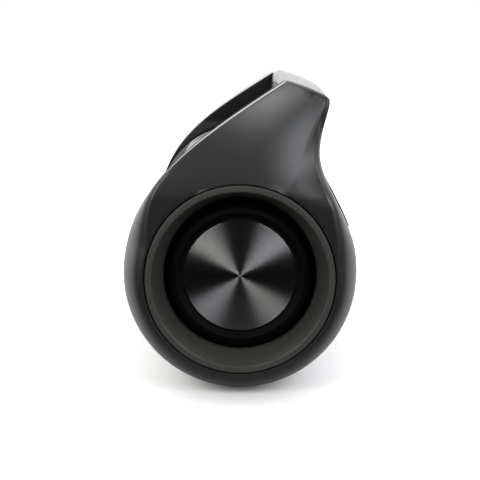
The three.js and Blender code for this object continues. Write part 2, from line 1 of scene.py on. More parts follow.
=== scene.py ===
"""Looks of a portable boombox loudspeaker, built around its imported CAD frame.

Lengths in this script are millimetres, in the frame's own axes: +X along the round body, -Y to the
front, +Z up. The mesh helpers turn them into Blender's metres.
"""
import json
import math

import bmesh
import bpy
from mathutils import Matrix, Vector


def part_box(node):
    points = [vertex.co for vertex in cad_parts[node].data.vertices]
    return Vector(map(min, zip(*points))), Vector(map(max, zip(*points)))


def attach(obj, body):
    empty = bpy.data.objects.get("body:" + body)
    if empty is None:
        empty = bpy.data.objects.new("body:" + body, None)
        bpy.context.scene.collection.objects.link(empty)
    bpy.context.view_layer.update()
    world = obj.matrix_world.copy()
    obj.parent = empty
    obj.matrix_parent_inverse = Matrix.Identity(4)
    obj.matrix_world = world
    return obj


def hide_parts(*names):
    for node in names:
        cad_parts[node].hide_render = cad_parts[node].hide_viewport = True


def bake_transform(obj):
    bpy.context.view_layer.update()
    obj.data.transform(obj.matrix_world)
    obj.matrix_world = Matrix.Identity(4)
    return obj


MM = 0.001

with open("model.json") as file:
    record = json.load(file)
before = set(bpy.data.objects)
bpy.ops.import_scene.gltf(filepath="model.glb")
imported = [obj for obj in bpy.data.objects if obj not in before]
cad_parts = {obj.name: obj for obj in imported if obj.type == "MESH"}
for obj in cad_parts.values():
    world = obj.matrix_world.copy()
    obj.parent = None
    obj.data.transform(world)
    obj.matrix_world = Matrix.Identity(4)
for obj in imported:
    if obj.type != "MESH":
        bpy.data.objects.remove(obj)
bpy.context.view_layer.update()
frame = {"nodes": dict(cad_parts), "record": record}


def box_mm(node):
    """Lowest and highest corner of a CAD node, in millimetres."""
    low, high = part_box(node)
    return low / MM, high / MM


# ---- Driving dimensions, from the frame ----
SHELL_HIGH = box_mm("end_shell_right")[1]
DISC_LOW, DISC_HIGH = box_mm("radiator_disc_right")
RING_LOW, RING_HIGH = box_mm("trim_ring_right")
CLOTH_HIGH = box_mm("grille_cloth")[1]
PANEL_HIGH = box_mm("control_panel")[1]
DOOR_LOW, DOOR_HIGH = box_mm("port_door")
LIGHT_HIGH = box_mm("charge_light")[1]
FOOT_LOW, FOOT_HIGH = box_mm("foot_right")
HANDLE_HIGH = box_mm("handle_top")[1]
HALF = SHELL_HIGH.x  # the end faces stand this far from the middle
BELLY_R = SHELL_HIGH.y
AXIS_Z = (DISC_LOW.z + DISC_HIGH.z) / 2
AXIS = Vector((0, AXIS_Z))  # in (y, z)
BODY_R = CLOTH_HIGH.y
BODY_HALF = CLOTH_HIGH.x
APEX_Z = SHELL_HIGH.z
DISC_R = (DISC_HIGH.z - DISC_LOW.z) / 2
DISC_RISE = 4.0  # the CAD disc's crown stands this far in front of its edge
DISC_DEPTH = HALF - DISC_HIGH.x + DISC_RISE
RING_R = (RING_HIGH.z - RING_LOW.z) / 2
FUNNEL_DEPTH = HALF - RING_LOW.x
DOOR_HALF = DOOR_HIGH.x

# ---- Shape, as in the CAD source ----
SHELL_WIDTH = 46.0
SHELL_WALL = 3.0
MOUTH = HALF - SHELL_WIDTH  # x of the shell's open side
LEAN, LEAN_START, LEAN_POWER = 36.0, 166.0, 1.5  # the arm's outer face leans in above a level
INNER_LEAN, INNER_LEAN_START = 32.0, 200.5
APEX_ANGLE = 13.5
REAR_CORNER_ANGLE = 27.0
APEX_R = (APEX_Z - AXIS_Z) / math.cos(math.radians(APEX_ANGLE))
WAIST = Vector((65.2, 200.7))
REAR_TANGENT, REAR_REACH = 70.0, 28.4  # where the belly's arc ends, and its curve's handle there
FRONT_TANGENT, FRONT_REACH = 80.0, 64.5
FRONT_SHOULDER = (-34.0, 212.6)
REAR_SHOULDER = (71.9, 230.7)
WAIST_ABOVE, WAIST_BELOW = 13.5, 21.0
CORNER_ROUND = 7.0
OUTLINE_POINTS = 480
LIP_R = 72.2
FUNNEL_R = 63.6
RING_SEAT = 9.0  # the trim ring reaches this deep into the shell
COVER_GAP = 1.2
COVER_THICK = 2.2
HANDLE_END = MOUTH - COVER_GAP - COVER_THICK - 0.4
PANEL_FRONT, PANEL_REAR, PANEL_HALF = -37.0, 14.0, PANEL_HIGH.x
PANEL_MIDDLE = (PANEL_FRONT + PANEL_REAR) / 2
BUTTONS = ("wireless", "volume_down", "power", "play", "volume_up", "link")
BUTTON_PITCH = 42.0
BUTTON_LENGTH, BUTTON_WIDTH = 27.0, 12.0
LIGHT_ANGLE = -126.0


# ---- Camera ----
def make_camera():
    """Looks at the end face from 12 degrees above the round body's axis."""
    distance = 883.0
    elevation = math.radians(12.0)
    pitch = math.radians(9.86)
    data = bpy.data.cameras.new("camera")
    data.lens = 81.8
    data.sensor_width = 36.0
    data.clip_end = 20.0
    camera = bpy.data.objects.new("camera", data)
    bpy.context.scene.collection.objects.link(camera)
    place = Vector((HALF + distance * math.cos(elevation), 0, AXIS_Z + distance * math.sin(elevation)))
    camera.location = place * MM
    aim = Vector((-math.cos(pitch), 0, -math.sin(pitch)))
    camera.rotation_euler = aim.to_track_quat("-Z", "Y").to_euler()
    bpy.context.scene.camera = camera


make_camera()


# ---- Materials ----
class Nodes:
    """A short way to add and link shader nodes."""

    def __init__(self, tree):
        self.tree = tree

    def add(self, kind, inputs=None, **settings):
        node = self.tree.nodes.new(kind)
        for key, value in settings.items():
            setattr(node, key, value)
        self.fill(node, inputs or {})
        return node

    def fill(self, node, inputs):
        """Links sockets to a node's inputs, and sets plain values on them."""
        for key, value in inputs.items():
            if isinstance(value, bpy.types.NodeSocket):
                self.tree.links.new(value, node.inputs[key])
            else:
                node.inputs[key].default_value = value

    def math(self, operation, a, b=0.0):
        return self.add("ShaderNodeMath", {0: a, 1: b}, operation=operation).outputs[0]

    def noise(self, coordinates, scale, detail=2.0, roughness=0.5):
        inputs = {"Vector": coordinates, "Scale": scale, "Detail": detail, "Roughness": roughness}
        return self.add("ShaderNodeTexNoise", inputs).outputs["Fac"]

    def span(self, value, low, high):
        """Maps 0..1 to low..high."""
        inputs = {"Value": value, "To Min": low, "To Max": high}
        return self.add("ShaderNodeMapRange", inputs).outputs["Result"]

    def ramp(self, value, start, end):
        """Goes smoothly from 0 to 1 as the value goes from start to end."""
        inputs = {"Value": value, "From Min": start, "From Max": end}
        return self.add("ShaderNodeMapRange", inputs, interpolation_type="SMOOTHSTEP").outputs["Result"]

    def tint(self, share, dark, light):
        """A colour between two, each a plain colour or a socket, by a 0..1 share."""
        inputs = {"Factor": share, "A": opaque(dark), "B": opaque(light)}
        return self.add("ShaderNodeMix", inputs, data_type="RGBA").outputs["Result"]


def opaque(color):
    return color if isinstance(color, bpy.types.NodeSocket) else (*color, 1)


def start_material(name):
    material = bpy.data.materials.new(name)
    material.use_nodes = True
    tree = material.node_tree
    nodes = Nodes(tree)
    shader = tree.nodes["Principled BSDF"]
    coordinates = nodes.add("ShaderNodeTexCoord").outputs["Object"]
    return material, nodes, shader, coordinates


def scaled(color, factor):
    return tuple(min(1.0, c * factor) for c in color)


def moulded(name, color, roughness, grain=1800.0, relief=0.00004, spread=0.12, metallic=0.0,
            **shader_values):
    """Moulded plastic, rubber or cast metal: fine grain in the bump, slow drifts of colour and gloss."""
    material, nodes, shader, coordinates = start_material(name)
    drift = nodes.noise(coordinates, 22.0, 4.0)
    fine = nodes.noise(coordinates, grain, 3.0, 0.6)
    shade = nodes.math("ADD", nodes.math("MULTIPLY", drift, 0.7), nodes.math("MULTIPLY", fine, 0.3))
    tint = nodes.tint(shade, scaled(color, 1 - spread), scaled(color, 1 + spread))
    rough = nodes.span(shade, roughness - 0.05, roughness + 0.05)
    bump = nodes.add("ShaderNodeBump", {"Height": fine, "Distance": relief, "Strength": 0.5})
    nodes.fill(shader, {"Base Color": tint, "Roughness": rough, "Normal": bump.outputs[0],
                        "Metallic": metallic, **shader_values})
    return material


def turned_metal(name, color):
    """Metal turned on a lathe about the X axis: fine rings, and a sheen that runs across them."""
    material, nodes, shader, coordinates = start_material(name)
    split = nodes.add("ShaderNodeSeparateXYZ", {"Vector": coordinates})
    across = nodes.math("SUBTRACT", split.outputs["Z"], AXIS_Z * MM)
    flat = nodes.add("ShaderNodeCombineXYZ", {"X": split.outputs["Y"], "Y": across})
    radius = nodes.add("ShaderNodeVectorMath", {0: flat.outputs[0]}, operation="LENGTH").outputs["Value"]
    ring = nodes.add("ShaderNodeCombineXYZ", {"X": radius}).outputs[0]
    fine = nodes.noise(ring, 4200.0, 2.0)
    broad = nodes.noise(ring, 420.0, 3.0)
    tint = nodes.tint(nodes.math("MULTIPLY", nodes.math("ADD", fine, broad), 0.5),
                      scaled(color, 0.8), scaled(color, 1.2))
    rough = nodes.span(fine, 0.25, 0.3)
    bump = nodes.add("ShaderNodeBump", {"Height": fine, "Distance": 0.00001, "Strength": 0.15})
    tangent = nodes.add("ShaderNodeTangent", direction_type="RADIAL", axis="X")
    shader.distribution = "GGX"
    nodes.fill(shader, {"Base Color": tint, "Roughness": rough, "Normal": bump.outputs[0],
                        "Tangent": tangent.outputs[0], "Metallic": 1.0,
                        "Anisotropic": 1.0, "Anisotropic Rotation": 0.25})
    return material


def woven(name, color, pitch=0.0017):
    """Plain-weave cloth on a UV map in metres: over and under threads, with a slub here and there, and
    painted light and shade across the threads.
    """
    material, nodes, shader, coordinates = start_material(name)
    uv = nodes.add("ShaderNodeUVMap", uv_map="cloth").outputs[0]
    split = nodes.add("ShaderNodeSeparateXYZ", {"Vector": uv})
    turn = math.pi / pitch
    warp = nodes.math("SINE", nodes.math("MULTIPLY", split.outputs["X"], turn))
    weft = nodes.math("SINE", nodes.math("MULTIPLY", split.outputs["Y"], turn))
    over = nodes.math("MULTIPLY", warp, weft)
    warp_body = nodes.math("ABSOLUTE", warp)
    weft_body = nodes.math("ABSOLUTE", weft)
    side = nodes.math("GREATER_THAN", over, 0.0)
    upper = nodes.math("MULTIPLY", side, warp_body)
    lower = nodes.math("MULTIPLY", nodes.math("SUBTRACT", 1.0, side), weft_body)
    thread = nodes.math("ADD", upper, lower)
    relief = nodes.math("MULTIPLY", thread, nodes.math("ADD", 0.6, nodes.math("ABSOLUTE", over)))
    fuzz = nodes.noise(coordinates, 5200.0, 3.0)
    slub = nodes.noise(coordinates, 160.0, 3.0)
    height = nodes.math("ADD", relief, nodes.math("MULTIPLY", fuzz, 0.35))
    # Painted light and shade: the colour is lighter on each thread's crown and darker at its edges and
    # between threads; the slubs are the yarn's own tone.
    shade = nodes.math("ADD", nodes.math("MULTIPLY", thread, 0.6), nodes.math("MULTIPLY", slub, 0.4))
    tint = nodes.tint(shade, scaled(color, 0.35), scaled(color, 1.35))
    bump = nodes.add("ShaderNodeBump", {"Height": height, "Distance": 0.0005, "Strength": 0.9})
    nodes.fill(shader, {"Base Color": tint, "Normal": bump.outputs[0], "Roughness": 0.85,
                        "Specular IOR Level": 0.12, "Sheen Weight": 0.03, "Sheen Roughness": 0.5})
    return material


SATIN = moulded("satin_shell", (0.0095, 0.0095, 0.0095), 0.40, grain=2600.0, relief=0.00002, spread=0.06)
DARK = moulded("dark_plastic", (0.014, 0.014, 0.015), 0.5)
RING = moulded("ring_plastic", (0.039, 0.04, 0.033), 0.46, grain=3000.0, relief=0.00002)
RUBBER = moulded("soft_rubber", (0.012, 0.012, 0.013), 0.62, grain=1500.0, relief=0.00006)
KEYS = moulded("button_rubber", (0.018, 0.018, 0.019), 0.5, grain=2200.0)
STRIP = moulded("control_strip", (0.018, 0.018, 0.019), 0.5, grain=2200.0, relief=0.00002)
# Black rubber, and painted shade on top: the roll's colour is darkened further for the shade in the recess
# behind the lip.
ROLL = moulded("surround_rubber", (0.0014, 0.0014, 0.0014), 0.6, grain=2600.0, relief=0.00002,
               **{"Specular IOR Level": 0.06})
DISC = turned_metal("brushed_disc", (0.38, 0.38, 0.385))
CLOTH = woven("speaker_cloth", (0.046, 0.042, 0.038))
STEEL = moulded("zinc_steel", (0.42, 0.42, 0.43), 0.38, grain=900.0, relief=0.00003, metallic=1.0)
NICKEL = moulded("nickel_steel", (0.55, 0.54, 0.52), 0.28, grain=1200.0, relief=0.00001, metallic=1.0)
ALUMINIUM = moulded("extruded_aluminium", (0.5, 0.5, 0.51), 0.4, grain=1100.0, metallic=1.0)
PAPER = moulded("cone_paper", (0.02, 0.019, 0.018), 0.8, grain=700.0, relief=0.0002, spread=0.3)
BOARD = moulded("circuit_board", (0.015, 0.08, 0.03), 0.35, grain=500.0, relief=0.00002)
WRAP = moulded("battery_wrap", (0.02, 0.05, 0.14), 0.32, grain=300.0, relief=0.0001)
LENS = moulded("light_lens", (0.55, 0.56, 0.57), 0.25, grain=900.0, relief=0.00001)
INK = moulded("pale_ink", (0.5, 0.5, 0.49), 0.5, grain=2000.0)

SLOT_MATERIALS = {
    "satin_shell": SATIN, "dark_plastic": DARK, "ring_plastic": RING, "soft_rubber": RUBBER,
    "button_rubber": KEYS, "surround_rubber": ROLL, "speaker_cloth": CLOTH, "brushed_disc": DISC,
    "steel": STEEL, "socket_metal": NICKEL, "aluminium": ALUMINIUM, "cone_paper": PAPER,
    "circuit_board": BOARD, "battery_wrap": WRAP, "light_lens": LENS,
}


def dress_frame():
    """Gives every CAD node the material of its slot."""
    for entry in frame["record"]["subparts"]:
        node = frame["nodes"][entry["node"]]
        node.data.materials.clear()
        node.data.materials.append(SLOT_MATERIALS[entry["material_slot"]])


dress_frame()


# ---- Outlines, as lists of (y, z) ----
def on_circle(radius, degrees):
    """A point round the body's axis; the angle runs from the top, positive to the rear."""
    turn = math.radians(degrees)
    return Vector((radius * math.sin(turn), AXIS_Z + radius * math.cos(turn)))


def arc(radius, start, end, count):
    return [on_circle(radius, start + (end - start) * i / count) for i in range(count)]


def tangent_point(radius, degrees, distance):
    """A point along the circle's tangent, towards the top."""
    turn = math.radians(degrees)
    side = math.copysign(1.0, degrees)
    return on_circle(radius, degrees) + Vector((-side * math.cos(turn), abs(math.sin(turn)))) * distance


def bezier(start, c1, c2, end, count):
    points = []
    for i in range(count):
        t = i / count
        a, b, c, d = (1 - t) ** 3, 3 * (1 - t) ** 2 * t, 3 * (1 - t) * t * t, t ** 3
        points.append(Vector(start) * a + Vector(c1) * b + Vector(c2) * c + Vector(end) * d)
    return points


def resampled(points, count):
    """The same closed line with evenly spaced points."""
    line = points + [points[0]]
    lengths = [0.0]
    for a, b in zip(line, line[1:]):
        lengths.append(lengths[-1] + (b - a).length)
    result = []
    k = 0
    for i in range(count):
        want = lengths[-1] * i / count
        while k < len(line) - 2 and lengths[k + 1] < want:
            k += 1
        step = lengths[k + 1] - lengths[k]
        t = (want - lengths[k]) / step if step > 0 else 0.0
        result.append(line[k].lerp(line[k + 1], min(1.0, t)))
    return result


def rounded(points, corner, reach):
    """Rounds a closed line near a corner: the stretch within reach of it becomes one curve."""
    near = [i for i, p in enumerate(points) if (p - corner).length < reach]
    low, high = min(near), max(near)
    first, last = points[low], points[high]
    middle = bezier(first, first.lerp(corner, 0.85), last.lerp(corner, 0.85), last, len(near))
    return points[:low] + middle + points[high + 1:]


def smooth(t):
    t = min(1.0, max(0.0, t))
    return t * t * (3 - 2 * t)


def keyed(value, keys):
    """A smooth curve through (at, value, ...) keys."""
    for low, high in zip(keys, keys[1:]):
        if value <= high[0]:
            t = smooth((value - low[0]) / (high[0] - low[0]))
            return [a + (b - a) * t for a, b in zip(low[1:], high[1:])]
    return list(keys[-1][1:])


def angle_of(point):
    """Degrees from the top round the body's axis, positive to the rear, from -180 to 180."""
    return math.degrees(math.atan2(point.x, point.y - AXIS_Z))


def teardrop(count):
    """Outline of an end shell, from the apex round the rear, under the belly and up the front slope."""
    apex = on_circle(APEX_R, APEX_ANGLE)
    corner = on_circle(APEX_R, REAR_CORNER_ANGLE)
    rear = on_circle(BELLY_R, REAR_TANGENT)
    rear_handle = tangent_point(BELLY_R, REAR_TANGENT, REAR_REACH)
    front = on_circle(BELLY_R, -FRONT_TANGENT)
    front_handle = tangent_point(BELLY_R, -FRONT_TANGENT, FRONT_REACH)
    line = arc(APEX_R, APEX_ANGLE, REAR_CORNER_ANGLE, 40)
    line += bezier(corner, REAR_SHOULDER, WAIST + Vector((0, WAIST_ABOVE)), WAIST, 60)
    line += bezier(WAIST, WAIST - Vector((0, WAIST_BELOW)), rear_handle, rear, 60)
    line += arc(BELLY_R, REAR_TANGENT, 360 - FRONT_TANGENT, 300)
    line += bezier(front, front_handle, FRONT_SHOULDER, apex, 160)
    return resampled(rounded(line, corner, CORNER_ROUND), count)


def inward(line):
    """Unit vectors into a closed outline that runs clockwise as seen from +X."""
    result = []
    for i, point in enumerate(line):
        along = (line[(i + 1) % len(line)] - line[i - 1]).normalized()
        result.append(Vector((along.y, -along.x)))
    return result


def lean_share(z, start):
    return min(1.0, max(0.0, (z - start) / (APEX_Z - start)))


def outer_lean(z):
    return LEAN * lean_share(z, LEAN_START) ** LEAN_POWER


def inner_lean(z):
    return INNER_LEAN * lean_share(z, INNER_LEAN_START)


# ---- Meshes ----
def loft(rings, closed=True, looped=False):
    """Quads between equal rings of points: closed joins each ring's ends, looped the first and last ring."""
    width = len(rings[0])
    points = [p for ring in rings for p in ring]
    faces = []
    for i in range(len(rings) if looped else len(rings) - 1):
        for j in range(width if closed else width - 1):
            a = i * width + j
            b = i * width + (j + 1) % width
            shift = ((i + 1) % len(rings)) * width
            faces.append((a, b, shift + (j + 1) % width, shift + j))
    return points, faces


def capped(rings):
    """A loft whose first and last ring close over."""
    points, faces = loft(rings)
    width = len(rings[0])
    return points, faces + [tuple(range(width)), tuple(range(len(points) - width, len(points)))]


def add_mesh(name, points, faces, material, sharp=35.0):
    """One object from points in millimetres, its faces turned outwards, its edges sharp past an angle."""
    mesh = bpy.data.meshes.new(name)
    mesh.from_pydata([Vector(p) * MM for p in points], [], faces)
    work = bmesh.new()
    work.from_mesh(mesh)
    bmesh.ops.remove_doubles(work, verts=work.verts, dist=1e-6)
    bmesh.ops.recalc_face_normals(work, faces=work.faces)
    work.to_mesh(mesh)
    work.free()
    mesh.shade_smooth()
    mesh.set_sharp_from_angle(angle=math.radians(sharp))
    mesh.materials.append(material)
    piece = bpy.data.objects.new(name, mesh)
    bpy.context.scene.collection.objects.link(piece)
    return piece


def place(piece, body, slot, *nodes):
    """Rides the piece on a body in place of CAD nodes; the slot is not used."""
    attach(piece, body)
    if nodes:
        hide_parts(*nodes)
    return piece


def mirrored(points):
    return [(-p[0], p[1], p[2]) for p in points]


def revolve(profile, count):
    """Rings about the body's axis at the right end; the profile holds (radius, depth) points."""
    rings = []
    for i in range(count):
        turn = 2 * math.pi * i / count
        y, z = math.sin(turn), math.cos(turn)
        rings.append([(HALF - depth, r * y, AXIS_Z + r * z) for r, depth in profile])
    return rings


def soft_corners(profile, radius, steps=4):
    """Replaces each corner of a closed flat profile by a small curve."""
    result = []
    count = len(profile)
    for i, point in enumerate(profile):
        point = Vector(point)
        before = Vector(profile[i - 1])
        after = Vector(profile[(i + 1) % count])
        reach = min(radius, (before - point).length / 2.2, (after - point).length / 2.2)
        start = point + (before - point).normalized() * reach
        end = point + (after - point).normalized() * reach
        for k in range(steps + 1):
            t = k / steps
            result.append(tuple(start * (1 - t) ** 2 + point * 2 * t * (1 - t) + end * t * t))
    return result


SIDES = (("right", False), ("left", True))


def both_ends(name, points, faces, material, body, slot, nodes, sharp=35.0):
    """The same piece at the right end and, mirrored, at the left. Names in body and nodes take the side."""
    for side, flip in SIDES:
        piece = add_mesh(f"{name}_{side}", mirrored(points) if flip else points, faces, material, sharp)
        place(piece, body.format(side), slot, *[n.format(side) for n in nodes])


# ---- End shells ----
# The rim's rounding by the angle round the axis: its reach in from the outline and its depth there.
RIM_KEYS = (
    (-180, 20, 37), (-81, 20, 37), (-37, 3, 2), (-28, 1.2, 1.2), (12, 1.2, 1.2),
    (20, 2.5, 2), (40, 5, 4), (95, 20, 37), (180, 20, 37),
)
ROUND_POWER = 1.7
# The rear of the arm's face falls away in a wide shallow dome, which narrows with height.
DOME_REACH, DOME_LEVEL, DOME_TAPER = 72.0, 200.0, 0.6
DOME_PITCH = 0.235
DOME_POWER = 3.0
DOME_FOOT, DOME_RUN = 158.0, 46.0
DOME_TOP, DOME_TOP_RUN = 212.0, 36.0
# The dome follows a calmer line than the rear outline: its height steps, points and smoothing rounds.
REAR_STEP = 0.5
REAR_POINTS = 3000
REAR_ROUNDS = 60
REAR_CLEAR = 3.0  # degrees kept off the rear corner
SHELL_HOLE_R = 78.4
HOLE_WALL = 3.0
LIP_EDGE = 0.7
LIP_HOLD = 14.0  # the face stays flat this far round the lip
FACE_STEPS = 16
RIM_STEPS = 20
FILLET_ROWS = 3
MIN_FILLET = 0.4
RELAX_ROUNDS = 14
MOUTH_EDGE = 0.9
MOUTH_DRAFT, DRAFT_FOOT, DRAFT_RUN = 0.8, 110.0, 60.0


def averaged(values):
    """Each value evened out with its neighbours, the first and last held."""
    middle = [(a + b + c) / 3 for a, b, c in zip(values, values[1:], values[2:])]
    return [values[0]] + middle + [values[-1]]


def rear_line():
    """The rear outline's y at even heights from the axis to the corner."""
    above = [p for p in teardrop(REAR_POINTS) if p.y >= AXIS_Z]
    side = sorted((p.y, p.x) for p in above if angle_of(p) > REAR_CORNER_ANGLE + REAR_CLEAR)
    result, k = [], 0
    for i in range(int((side[-1][0] - AXIS_Z) / REAR_STEP)):
        while side[k + 1][0] < AXIS_Z + i * REAR_STEP:
            k += 1
        result.append(side[k][1])
    for _ in range(REAR_ROUNDS):
        result = averaged(result)
    return result


def rear_edge(z):
    """The y of the rear outline at a height above the belly, evened out."""
    at = min(len(REAR_LINE) - 1.001, max(0.0, (z - AXIS_Z) / REAR_STEP))
    k = int(at)
    return REAR_LINE[k] + (REAR_LINE[k + 1] - REAR_LINE[k]) * (at - k)


REAR_LINE = rear_line()


def dome(place):
    """How far the arm's face has fallen away at a flat place."""
    reach = DOME_REACH - DOME_TAPER * (place.y - DOME_LEVEL)
    share = min(1.0, max(0.0, 1 - (rear_edge(place.y) - place.x) / reach))
    rise = smooth((place.y - DOME_FOOT) / DOME_RUN) * (1 - smooth((place.y - DOME_TOP) / DOME_TOP_RUN))
    held = smooth(((place - AXIS).length - SHELL_HOLE_R - LIP_EDGE) / LIP_HOLD)
    return DOME_PITCH * reach * share ** DOME_POWER * rise * held


def relaxed(depths):
    """Evens out a closed grid of face depths, with the first and last places of each row held."""
    for _ in range(RELAX_ROUNDS):
        after = []
        for i, row in enumerate(depths):
            left, right = depths[i - 1], depths[(i + 1) % len(depths)]
            middle = []
            for k in range(1, len(row) - 1):
                middle.append((row[k - 1] + row[k + 1] + left[k] + right[k] + 4 * row[k]) / 8)
            after.append([row[0]] + middle + [row[-1]])
        depths = after
    return depths


def face_grid():
    """The face from the hole's lip to the outline, as rows of flat points and their depths."""
    line = teardrop(OUTLINE_POINTS)
    flats, depths = [], []
    for point, normal in zip(line, inward(line)):
        angle = angle_of(point)
        reach, deep = keyed(angle, RIM_KEYS)
        reach = min(reach, (point - AXIS).length - SHELL_HOLE_R - LIP_EDGE - 1)
        lip = on_circle(SHELL_HOLE_R + LIP_EDGE, angle)
        start = point + normal * reach
        flat = [lip.lerp(start, i / FACE_STEPS) for i in range(FACE_STEPS)]
        depth = [dome(place) for place in flat]
        for i in range(RIM_STEPS + 1):
            share = math.sin(math.pi / 2 * i / RIM_STEPS)
            place = start.lerp(point, share)
            flat.append(place)
            depth.append(dome(place) + deep * (1 - math.sqrt(max(0.0, 1 - share ** ROUND_POWER))))
        flats.append(flat)
        depths.append(depth)
    return line, flats, relaxed(depths)


def shell_sections():
    """One closed section of the shell's wall at each point of the teardrop."""
    line, flats, depths = face_grid()
    sections = []
    for point, normal, flat, depth in zip(line, inward(line), flats, depths):
        angle = angle_of(point)
        draft = MOUTH_DRAFT * smooth((point.y - DRAFT_FOOT) / DRAFT_RUN)

        def at(place, depth):
            share = depth / SHELL_WIDTH
            shift = outer_lean(place.y) * (1 - share) + inner_lean(place.y) * share
            return (HALF - depth - shift, place.x, place.y)

        def hole(radius, depth):
            place = on_circle(radius, angle)
            return (HALF - depth, place.x, place.y)

        section = [hole(SHELL_HOLE_R, RING_SEAT), hole(SHELL_HOLE_R, LIP_EDGE)]
        section.append(hole(SHELL_HOLE_R + 0.3 * LIP_EDGE, 0.2))
        section += [at(flat[k], depth[k]) for k in range(len(flat) - FILLET_ROWS)]
        first = Vector(((flat[-FILLET_ROWS] - point).length, depth[-FILLET_ROWS]))
        corner = Vector((0, depth[-1]))
        fillet = max(MIN_FILLET, first.x)
        last = corner + Vector((0, fillet))
        curve = bezier(first, first.lerp(corner, 0.6), last.lerp(corner, 0.6), last, 5)
        section += [at(point + normal * c.x, c.y) for c in curve + [last]]
        middle = (depth[-1] + fillet + SHELL_WIDTH) / 2
        wall = (
            (draft * middle / SHELL_WIDTH, middle), (draft, SHELL_WIDTH - MOUTH_EDGE),
            (draft + MOUTH_EDGE * 0.3, SHELL_WIDTH - MOUTH_EDGE * 0.3), (draft + MOUTH_EDGE, SHELL_WIDTH),
            (draft + SHELL_WALL, SHELL_WIDTH), (SHELL_WALL, min(depth[-1] + SHELL_WALL, SHELL_WIDTH - 2)),
        )
        section += [at(point + normal * inset, deep) for inset, deep in wall]
        section += [hole(SHELL_HOLE_R + HOLE_WALL, depth) for depth in (SHELL_WALL + 4, RING_SEAT)]
        sections.append(section)
    return sections


def make_end_shells():
    points, faces = loft(shell_sections(), looped=True)
    both_ends("shell", points, faces, SATIN, "body", "satin_shell", ["end_shell_{}"], sharp=40.0)


# ---- Arm covers ----
COVER_REACH = ((36, 0.0), (42, 1.4), (48, 2.1), (70, 2.1), (80, 0.0))  # past the outline, by angle
COVER_EDGE = 0.8
COVER_ROWS = 7
COVER_INSET = 0.3
COVER_SEAT_R = BODY_R + 0.6


def make_arm_covers():
    """The dark inner side of each arm, fitted round the body, with a bumper that shows past the rear edge."""
    near, far = MOUTH - COVER_GAP, MOUTH - COVER_GAP - COVER_THICK
    rounding = 0.3 * COVER_EDGE
    line = [p for p in teardrop(OUTLINE_POINTS) if (p - AXIS).length > BELLY_R + 0.01]
    line.sort(key=angle_of)
    sections = []
    for point in line:
        angle = angle_of(point)
        past = keyed(angle, COVER_REACH)[0] if angle > COVER_REACH[0][0] else 0.0
        outer_r = (point - AXIS).length - COVER_INSET + past

        def at(radius, x):
            flat = on_circle(radius, angle)
            return (x - inner_lean(flat.y), flat.x, flat.y)

        low, high = COVER_SEAT_R + COVER_EDGE, outer_r - COVER_EDGE
        section = [at(COVER_SEAT_R, near), at(COVER_SEAT_R, far + COVER_EDGE)]
        section.append(at(COVER_SEAT_R + rounding, far + rounding))
        section += [at(low + (high - low) * i / COVER_ROWS, far) for i in range(COVER_ROWS + 1)]
        section += [at(outer_r - rounding, far + rounding), at(outer_r, far + COVER_EDGE), at(outer_r, near)]
        sections.append(section)
    points, faces = capped(sections)
    both_ends("cover", points, faces, DARK, "body", "dark_plastic", ["arm_cover_{}"])


make_end_shells()
make_arm_covers()


# ---- Passive radiators ----
TURNED_STEPS = 200
ROLL_STEPS = 160
ROLL_HIGH, ROLL_THICK = 5.6, 1.3
FUNNEL_WALL, FUNNEL_BACK = 2.0, 4.0
RING_EDGE = 0.7
DISC_FALL = 0.6  # from the middle of the disc to its edge
DISC_LIP = 0.4


def make_trim_rings():
    """The lip round the opening and the funnel behind it."""
    profile = soft_corners([
        (RING_R, RING_SEAT), (RING_R, 0.0), (LIP_R, 0.0), (FUNNEL_R, FUNNEL_DEPTH),
        (FUNNEL_R + FUNNEL_BACK, FUNNEL_DEPTH), (LIP_R + FUNNEL_WALL, RING_SEAT)], RING_EDGE)
    points, faces = loft(revolve(profile, TURNED_STEPS), looped=True)
    both_ends("ring", points, faces, RING, "body", "ring_plastic", ["trim_ring_{}"])


def make_surrounds():
    """The rubber roll: a half round between the frame's seat and the disc's edge."""
    outer, inner = FUNNEL_R + 1.5, DISC_R - 0.5
    seat = FUNNEL_DEPTH - 0.2
    rim = DISC_DEPTH - DISC_RISE + DISC_FALL + 2 * DISC_LIP
    top = []
    steps = 28
    for i in range(steps + 1):
        t = i / steps
        base = seat + (rim - seat) * t
        crown = smooth((t - 0.12) / 0.3) * smooth((0.9 - t) / 0.32)
        top.append((outer + (inner - outer) * t, base - ROLL_HIGH * crown))
    under = [(r, depth + ROLL_THICK) for r, depth in reversed(top)]
    points, faces = loft(revolve(top + under, ROLL_STEPS), looped=True)
    for side, flip in SIDES:
        piece = add_mesh(f"surround_{side}", mirrored(points) if flip else points, faces, ROLL)
        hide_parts(f"radiator_surround_{side}")
        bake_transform(piece)


def make_discs():
    """A very shallow turned cone with a pressed edge."""
    crown = DISC_DEPTH - DISC_RISE
    profile = [(0.0, crown)]
    steps = 24
    for i in range(1, steps + 1):
        t = i / steps
        profile.append((DISC_R * t, crown + DISC_FALL * t))
    edge = crown + DISC_FALL
    back = edge + 3 * DISC_LIP
    profile += [(DISC_R + DISC_LIP, edge + DISC_LIP), (DISC_R + DISC_LIP, back)]
    profile += [(DISC_R - 1, back + DISC_LIP), (0.0, back)]
    points, faces = loft(revolve(profile, TURNED_STEPS), closed=False, looped=True)
    both_ends("disc", points, faces, DISC, "radiator_{}", "brushed_disc", ["radiator_disc_{}"])


make_trim_rings()
make_surrounds()
make_discs()


